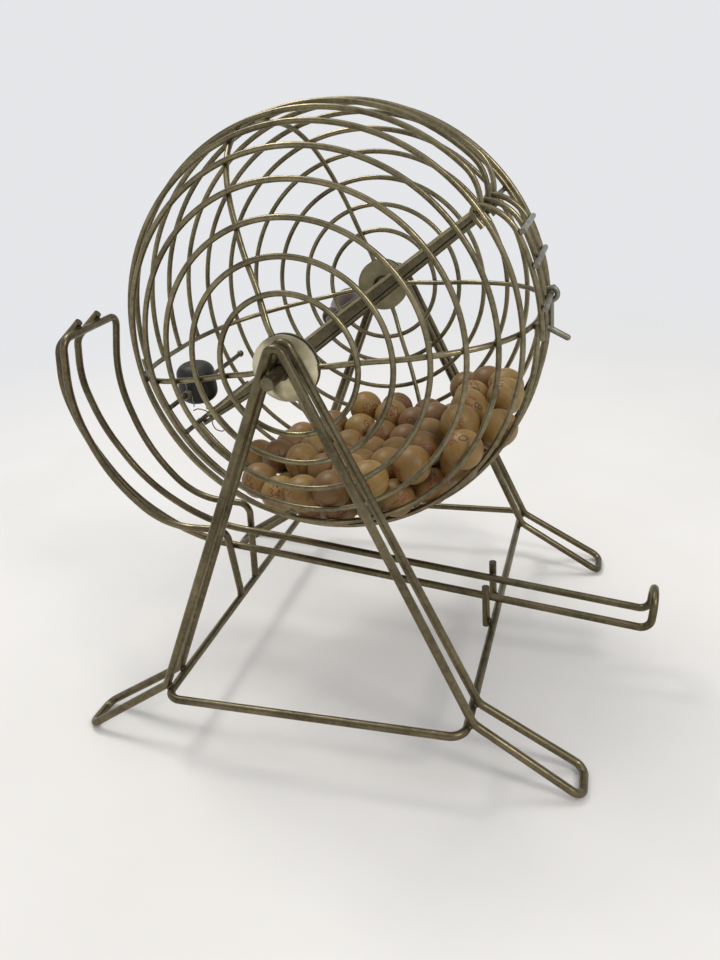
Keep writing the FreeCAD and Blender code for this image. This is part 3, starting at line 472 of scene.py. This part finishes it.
def smooth_path(points, step=0.6):
    """Points of a Catmull-Rom curve through a few control points."""
    points = [Vector(p) for p in points]
    ends = [points[0] * 2 - points[1]] + points + [points[-1] * 2 - points[-2]]
    path = []
    for a, b, c, d in zip(ends, ends[1:], ends[2:], ends[3:]):
        count = max(2, int((c - b).length / step))
        for i in range(count):
            t = i / count
            path.append(0.5 * ((2 * b) + (c - a) * t + (2 * a - 5 * b + 4 * c - d) * t * t
                               + (3 * b - a - 3 * c + d) * t ** 3))
    path.append(points[-1])
    return path


# ---- rings, as the CAD has them --------------------------------------------------------------
def ring_list():
    """(radius, y) of every ring, from the front hub to the rear hub."""
    found = []
    for name in RING_NODES:
        points = np.concatenate(islands(name))
        along = 0.5 * (points[:, 1].min() + points[:, 1].max())
        reach = np.hypot(points[:, 0] - AXLE_X, points[:, 2] - AXLE_Z).max()
        found.append((reach - RING_WIRE / 2, along))
    return found


rings = ring_list()


def ring_slope(index):
    """Outward normal (radial, y) of the cage's surface at a ring."""
    before = rings[max(index - 1, 0)]
    after = rings[min(index + 1, len(rings) - 1)]
    radial, along = after[0] - before[0], after[1] - before[1]
    length = math.hypot(radial, along)
    return along / length, -radial / length


# ---- welds -----------------------------------------------------------------------------------
def cage_welds(work):
    """A bead at every crossing of a ring with a rib, a bar or the doubler."""
    seed = 0
    half = RING_WIRE / 2
    for index, (radius, along) in enumerate(rings):
        out, side = ring_slope(index)
        angles = list(RIB_ANGLES)
        if index in EXIT_BAR_RINGS:
            angles.append(EXIT_BAR_ANGLE)
        for angle in angles:
            seed += 1
            centre = cage_point(radius - out * half, angle, along - side * half)
            bead(work, centre, ring_way(angle), ALONG, (1.85, 1.85, 0.7), seed)
        if index in HINGE_BAR_RINGS:
            seed += 1
            centre = cage_point(HINGE_BAR_RADIUS + half, HINGE_BAR_ANGLE, along)
            bead(work, centre, ring_way(HINGE_BAR_ANGLE), ALONG, (1.85, 1.85, 0.75), seed)
    for hub in (-HUB_PLANE, HUB_PLANE):
        for angle in RIB_ANGLES:
            seed += 1
            bearing = math.radians(angle)
            bead(work, cage_point(HUB_RADIUS + 0.1, angle, hub),
                 Vector((math.cos(bearing), 0, math.sin(bearing))), ALONG,
                 (0.9, 1.5, 1.9), seed)
    for along in (-TROUGH_RAIL_SHIFT, TROUGH_RAIL_SHIFT):
        for radius, angle in ((EXIT_BAR_RADIUS - 1.9, EXIT_BAR_ANGLE + 0.4),
                              (HINGE_BAR_RADIUS - 1.9, HINGE_BAR_ANGLE - 0.6)):
            seed += 1
            bead(work, cage_point(radius, angle, along), ALONG, UP, (1.7, 1.2, 1.1), seed)
    for end in TRAP_ROD_ENDS:
        seed += 1
        bead(work, end + Vector((-1.3, 0, -0.57)), (0.4, 0, -0.9), ALONG, (1.8, 1.8, 0.75),
             seed)


def stand_welds(work):
    """Beads at the knees, beside the axle and along the chute."""
    seed = 100
    for front in (-1, 1):
        for side in (-1, 1):
            for plane in KNEE_PLANES:
                seed += 1
                centre = Vector((side * (BASE_WIRE_X + 1.78), front * plane,
                                 BASE_WIRE_Z + 1.52))
                bead(work, centre, ALONG, Vector((side * 0.65, 0, -0.76)), (2.7, 2.0, 1.3),
                     seed)
        for plane in AXLE_PLANES:
            seed += 1
            bead(work, Vector((AXLE_X - 3.08, front * (plane - 0.3), AXLE_Z + 1.34)), ALONG,
                 Vector((0.4, 0, 0.92)), (2.3, 2.2, 1.0), seed)
    for side in (-1, 1):
        seed += 5
        wire_y = CHUTE_Y + side * CHUTE_GAUGE / 2
        bead(work, Vector((CHUTE_TOP_X, wire_y, CHUTE_TOP_Z)), ALONG,
             Vector((0.77, 0, 0.64)), (2.5, 2.5, 1.0), seed)
        bead(work, Vector((-BASE_WIRE_X, CHUTE_Y + side * GUARD_POST_SHIFT,
                           BASE_WIRE_Z + CHUTE_WIRE / 2)),
             ALONG, ACROSS, (3.0, 2.6, 1.1), seed + 1)
        post_y = wire_y + side * (CHUTE_WIRE - 0.08)
        bead(work, Vector((BASE_WIRE_X - 2.34, post_y, BASE_WIRE_Z)), UP, ALONG,
             (2.6, 2.2, 0.9), seed + 2)
        bead(work, Vector((SUPPORT_POST_X, post_y - side * 2.34, SUPPORT_WELD_Z)), UP,
             ACROSS, (2.4, 2.3, 0.9), seed + 3)


def door_welds(work):
    """Beads where the door's cross wires lie on its long wires."""
    seed = 200
    for angle in DOOR_CROSS_ANGLES:
        for along in DOOR_WIRE_PLANES:
            seed += 1
            bead(work, cage_point(DOOR_WELD_RADIUS, angle, along), ring_way(angle), ALONG,
                 (1.8, 1.8, 0.7), seed)


def trough_hems(work):
    """The trough's rims, folded outwards into thin rolls."""
    for along in (-TROUGH_HEM_SHIFT, TROUGH_HEM_SHIFT):
        tube_along(work, smooth_path([(-95.7, along, 165.2), (-8.0, along, 225.3),
                                      (79.0, along, 285.1)], 4.0), 0.85, 12)


def trap_string(work):
    """A thin wire loop that hangs from the exit bar, beside the trough's low end."""
    hook = [(-106.5, -10.5, 167.5), (-103.0, -10.0, 168.6), (-98.5, -8.0, 166.4),
            (-96.0, -6.0, 162.5), (-97.0, -5.6, 157.5), (-95.5, -5.0, 153.0),
            (-91.5, -4.4, 151.4), (-88.8, -4.4, 153.6), (-90.2, -4.8, 156.6)]
    tube_along(work, smooth_path(hook), 0.35, 8)


piece("cage_welds", cage_welds, WELD, "cage")
piece("stand_welds", stand_welds, WELD, "stand")
piece("door_welds", door_welds, WELD, "door")
piece("trough_hems", trough_hems, HEM_PAINTED_HIGHLIGHT, "cage")
piece("trap_string", trap_string, SLEEVE_METAL, "cage")

# ---- balls -----------------------------------------------------------------------------------
DIGITS = {
    "0": [[(0.5, 1.6), (0.1, 1.25), (0.0, 0.8), (0.1, 0.3), (0.5, 0.0), (0.9, 0.3), (1.0, 0.8),
           (0.9, 1.25), (0.5, 1.6)]],
    "1": [[(0.2, 1.25), (0.55, 1.6), (0.55, 0.8), (0.55, 0.0)]],
    "2": [[(0.05, 1.2), (0.3, 1.55), (0.75, 1.5), (0.9, 1.1), (0.6, 0.6), (0.05, 0.03),
           (0.5, 0.0), (0.98, 0.02)]],
    "3": [[(0.1, 1.4), (0.5, 1.6), (0.88, 1.25), (0.45, 0.88), (0.92, 0.5), (0.55, 0.02),
           (0.05, 0.22)]],
    "4": [[(0.7, 0.0), (0.7, 0.8), (0.7, 1.6), (0.35, 1.0), (0.0, 0.5), (0.5, 0.5),
           (1.0, 0.5)]],
    "5": [[(0.9, 1.58), (0.5, 1.58), (0.15, 1.56), (0.1, 0.95), (0.55, 1.0), (0.92, 0.55),
           (0.6, 0.05), (0.05, 0.15)]],
    "6": [[(0.8, 1.58), (0.3, 1.2), (0.05, 0.6), (0.3, 0.05), (0.75, 0.08), (0.95, 0.45),
           (0.7, 0.85), (0.2, 0.75)]],
    "7": [[(0.02, 1.56), (0.5, 1.57), (0.98, 1.56), (0.6, 0.8), (0.35, 0.0)]],
    "8": [[(0.5, 0.88), (0.1, 1.2), (0.5, 1.6), (0.9, 1.2), (0.5, 0.88), (0.05, 0.42),
           (0.5, 0.0), (0.95, 0.42), (0.5, 0.88)]],
    "9": [[(0.85, 0.95), (0.4, 0.78), (0.08, 1.15), (0.4, 1.58), (0.85, 1.4), (0.92, 0.9),
           (0.6, 0.3), (0.2, 0.0)]],
    "B": [[(0.1, 0.0), (0.1, 0.8), (0.1, 1.6), (0.6, 1.56), (0.85, 1.2), (0.55, 0.86),
           (0.12, 0.84), (0.6, 0.82), (0.95, 0.42), (0.6, 0.03), (0.1, 0.0)]],
    "I": [[(0.5, 0.0), (0.5, 0.8), (0.5, 1.6)]],
    "N": [[(0.05, 0.0), (0.05, 0.8), (0.07, 1.55), (0.5, 0.8), (0.93, 0.05), (0.95, 0.8),
           (0.95, 1.6)]],
    "G": [[(0.9, 1.4), (0.5, 1.6), (0.1, 1.2), (0.0, 0.8), (0.15, 0.2), (0.55, 0.0),
           (0.95, 0.25), (0.95, 0.75), (0.55, 0.77)]],
    "O": [[(0.5, 1.6), (0.1, 1.25), (0.0, 0.8), (0.1, 0.3), (0.5, 0.0), (0.9, 0.3),
           (1.0, 0.8), (0.9, 1.25), (0.5, 1.6)]],
    "_": [[(-0.1, 0.0), (0.5, 0.03), (1.1, 0.0)]],
}


def ball_frames():
    """Centre, turn, tone and number of every ball."""
    generator = random.Random(BALL_COUNT)
    numbers = list(range(1, BALL_COUNT + 1))
    generator.shuffle(numbers)
    frames = []
    for index, part in enumerate(islands("balls")):
        centre = Vector((0.5 * (part.min(0) + part.max(0))).tolist())
        facing = (CAMERA_AT - centre).normalized()
        spread = Vector((generator.gauss(0, 1), generator.gauss(0, 1), generator.gauss(0, 1)))
        weight = generator.choice((0.35, 0.6, 1.1, 2.5))
        out = (facing + spread.normalized() * weight).normalized()
        roll = generator.uniform(0, 2 * math.pi)
        across = out.orthogonal().normalized()
        across = Matrix.Rotation(roll, 3, out) @ across
        frames.append((centre, out, across, generator.random(), numbers[index % BALL_COUNT]))
    return frames


balls = ball_frames()


def ball_set():
    """All the balls as one mesh, with their grain direction and tone as attributes."""
    template = bmesh.new()
    bmesh.ops.create_icosphere(template, subdivisions=4, radius=BALL_RADIUS)
    base = np.array([v.co[:] for v in template.verts])
    faces = np.array([[v.index for v in f.verts] for f in template.faces])
    template.free()
    generator = np.random.default_rng(BALL_COUNT)
    all_points, all_faces, grains, tones = [], [], [], []
    for index, (centre, _, _, tone, _) in enumerate(balls):
        turn = np.array(Matrix.Rotation(generator.uniform(0, 6.28), 3,
                                        Vector(generator.normal(size=3))))
        local = base.copy()
        # slightly flattened poles, then faint turning grooves
        pole = np.abs(local[:, 2]) / BALL_RADIUS
        flat = np.clip((pole - 0.985) / 0.015, 0, 1)
        local *= (1 - 0.010 * flat)[:, None]
        local *= (1 - 0.0015 * np.abs(np.sin(local[:, 2] * 1.9 + index)))[:, None]
        all_points.append(local @ turn.T + np.array(centre[:]))
        all_faces.append(faces + index * len(base))
        grains.append((local + generator.uniform(-40, 40, 3)) * MM)
        tones.append(np.full(len(base), tone))
    points = np.concatenate(all_points) * MM
    mesh = bpy.data.meshes.new("ball_set")
    mesh.from_pydata(points.tolist(), [], np.concatenate(all_faces).tolist())
    mesh.attributes.new("grain", "FLOAT_VECTOR", "POINT").data.foreach_set(
        "vector", np.concatenate(grains).astype(np.float32).ravel())
    mesh.attributes.new("tone", "FLOAT", "POINT").data.foreach_set(
        "value", np.concatenate(tones).astype(np.float32))
    mesh.polygons.foreach_set("use_smooth", [True] * len(mesh.polygons))
    mesh.materials.append(BALL_WOOD)
    item = bpy.data.objects.new("ball_set", mesh)
    bpy.context.scene.collection.objects.link(item)
    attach(item, "cage")
    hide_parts("balls")


def ribbon(work, path, centre, radius, width):
    """A flat stroke on a ball, along unit directions from its centre."""
    left, right = [], []
    for i, p in enumerate(path):
        step = path[min(i + 1, len(path) - 1)] - path[max(i - 1, 0)]
        side = p.cross(step).normalized() * (width / 2 / radius)
        for row, sign in ((left, 1), (right, -1)):
            row.append(work.verts.new(centre + (p + side * sign).normalized() * radius))
    for a, b, c, d in zip(left, left[1:], right[1:], right):
        work.faces.new((a, b, c, d))


def stamp(work, text, low, centre, outward, right, up):
    """A line of digits or letters on a ball, its foot at a height over the middle."""
    width = DIGIT_HEIGHT / 1.6
    gap = width * 0.35
    total = len(text) * width + (len(text) - 1) * gap
    for place, digit in enumerate(text):
        start = -total / 2 + place * (width + gap)
        for stroke in DIGITS[digit]:
            path = []
            for p in smooth_path([Vector((x, y, 0)) for x, y in stroke], 0.10):
                x = (start + p.x * width) / BALL_RADIUS
                y = (low + p.y / 1.6 * DIGIT_HEIGHT) / BALL_RADIUS
                path.append((outward + right * math.tan(x) + up * math.tan(y)).normalized())
            ribbon(work, path, centre, BALL_RADIUS + 0.02, DIGIT_STROKE)


def ball_numbers(work):
    """Each ball's number on two opposite sides, underlined on every third ball."""
    for centre, out, across, _, number in balls:
        up = out.cross(across).normalized()
        for face in (1, -1):
            stamp(work, str(number), -4.6, centre, out * face, across * face, up)
            if number % 3 == 0:
                stamp(work, "_" * len(str(number)), -6.0, centre, out * face, across * face,
                      up)


def ball_letters(work):
    """The game's letter for the ball's number, above it."""
    for centre, out, across, _, number in balls:
        up = out.cross(across).normalized()
        letter = "BINGO"[(number - 1) // 15]
        for face in (1, -1):
            stamp(work, letter, 1.3, centre, out * face, across * face, up)


ball_set()
piece("ball_numbers", ball_numbers, RED_INK, "cage")
piece("ball_letters", ball_letters, DARK_INK, "cage")


# ---- stage -----------------------------------------------------------------------------------
def plain_stage():
    """A pale floor that fades into the backdrop away from the part."""
    mesh = bpy.data.meshes.new("floor")
    half = 6.0
    mesh.from_pydata([(-half, -half, 0), (half, -half, 0), (half, half, 0), (-half, half, 0)],
                     [], [(0, 1, 2, 3)])
    floor = bpy.data.objects.new("floor", mesh)
    floor.location.z = -0.0002
    bpy.context.scene.collection.objects.link(floor)
    t = Tree("floor_material")
    grain = t.noise(9, 3, 0.5)
    t.set(Base_Color=t.ramp(grain, [(0.3, (0.78, 0.765, 0.74)), (0.7, (0.81, 0.795, 0.77))]),
          Roughness=0.85, Specular_IOR_Level=0.1)
    distance = t.nodes.new("ShaderNodeVectorMath")
    distance.operation = "LENGTH"
    t.link(t.place, distance.inputs[0])
    clear = t.nodes.new("ShaderNodeBsdfTransparent")
    fade = t.nodes.new("ShaderNodeMixShader")
    t.link(t.range(distance.outputs["Value"], 0.42, 1.05, 0.0, 1.0), fade.inputs[0])
    t.link(t.shader.outputs[0], fade.inputs[1])
    t.link(clear.outputs[0], fade.inputs[2])
    t.link(fade.outputs[0], t.output.inputs["Surface"])
    mesh.materials.append(t.material)


def backdrop_world():
    """A pale backdrop for the camera, and for the light a room that is brighter overhead."""
    world = bpy.data.worlds.new("studio")
    world.use_nodes = True
    tree = world.node_tree
    tree.nodes.clear()
    output = tree.nodes.new("ShaderNodeOutputWorld")
    place = tree.nodes.new("ShaderNodeTexCoord")
    split = tree.nodes.new("ShaderNodeSeparateXYZ")
    tree.links.new(place.outputs["Generated"], split.inputs[0])
    room = tree.nodes.new("ShaderNodeValToRGB")
    stops = ((0.40, (0.785, 0.795, 0.815)), (0.52, (0.30, 0.30, 0.30)),
             (0.72, (0.36, 0.36, 0.37)), (0.90, (1.0, 1.0, 1.0)))
    while len(room.color_ramp.elements) < len(stops):
        room.color_ramp.elements.new(0.5)
    for element, (position, colour) in zip(room.color_ramp.elements, stops):
        element.position = position
        element.color = (*colour, 1.0)
    tree.links.new(split.outputs["Z"], room.inputs["Fac"])
    seen = tree.nodes.new("ShaderNodeBackground")
    seen.inputs["Strength"].default_value = 1.0
    tree.links.new(room.outputs["Color"], seen.inputs["Color"])
    height = tree.nodes.new("ShaderNodeMapRange")
    height.interpolation_type = "SMOOTHSTEP"
    for key, number in (("From Min", -0.15), ("From Max", 0.85),
                        ("To Min", 0.17), ("To Max", 0.82)):
        height.inputs[key].default_value = number
    tree.links.new(split.outputs["Z"], height.inputs["Value"])
    light = tree.nodes.new("ShaderNodeBackground")
    light.inputs["Color"].default_value = (0.96, 0.97, 1.0, 1)
    tree.links.new(height.outputs["Result"], light.inputs["Strength"])
    path = tree.nodes.new("ShaderNodeLightPath")
    through = tree.nodes.new("ShaderNodeMath")
    through.operation = "MAXIMUM"
    tree.links.new(path.outputs["Is Camera Ray"], through.inputs[0])
    tree.links.new(path.outputs["Is Transmission Ray"], through.inputs[1])
    mirrored = tree.nodes.new("ShaderNodeMath")
    mirrored.operation = "MAXIMUM"
    tree.links.new(through.outputs[0], mirrored.inputs[0])
    tree.links.new(path.outputs["Is Glossy Ray"], mirrored.inputs[1])
    blend = tree.nodes.new("ShaderNodeMixShader")
    tree.links.new(mirrored.outputs[0], blend.inputs[0])
    tree.links.new(light.outputs[0], blend.inputs[1])
    tree.links.new(seen.outputs[0], blend.inputs[2])
    tree.links.new(blend.outputs[0], output.inputs[0])
    bpy.context.scene.world = world


def lamp(name, at, target, size, power, colour):
    """A rectangular lamp that looks at a point."""
    data = bpy.data.lights.new(name, "AREA")
    data.shape = "RECTANGLE"
    data.size, data.size_y = size
    data.energy = power
    data.color = colour
    item = bpy.data.objects.new(name, data)
    item.location = at
    item.rotation_euler = (Vector(target) - Vector(at)).to_track_quat("-Z", "Y").to_euler()
    bpy.context.scene.collection.objects.link(item)


plain_stage()
backdrop_world()
lamp("key", (-0.55, 0.35, 1.45), (0, 0, 0.15), (0.5, 0.4), 9, (1.0, 0.98, 0.94))
lamp("side", (0.95, -0.65, 1.05), (0, 0, 0.2), (0.3, 0.4), 6, (1.0, 0.97, 0.92))


def camera():
    """The photograph's view: a long side of 960 pixels at a focal length of 848 pixels."""
    azimuth, elevation, roll = math.radians(18.18), math.radians(24.45), math.radians(-4.86)
    look = Vector((-math.sin(azimuth) * math.cos(elevation),
                   math.cos(azimuth) * math.cos(elevation), -math.sin(elevation)))
    right = look.cross(Vector((0, 0, 1))).normalized()
    up = right.cross(look)
    turned_right = right * math.cos(roll) + up * math.sin(roll)
    turned_up = up * math.cos(roll) - right * math.sin(roll)
    data = bpy.data.cameras.new("camera")
    data.sensor_fit = "VERTICAL"
    data.sensor_height = 36
    data.lens = 31.80
    data.clip_start = 0.01
    data.clip_end = 50
    item = bpy.data.objects.new("camera", data)
    matrix = Matrix((turned_right, turned_up, -look)).transposed().to_4x4()
    matrix.translation = CAMERA_AT * MM
    item.matrix_world = matrix
    bpy.context.scene.collection.objects.link(item)
    bpy.context.scene.camera = item


camera()
bpy.context.scene.view_settings.view_transform = "Standard"

bpy.context.view_layer.update()
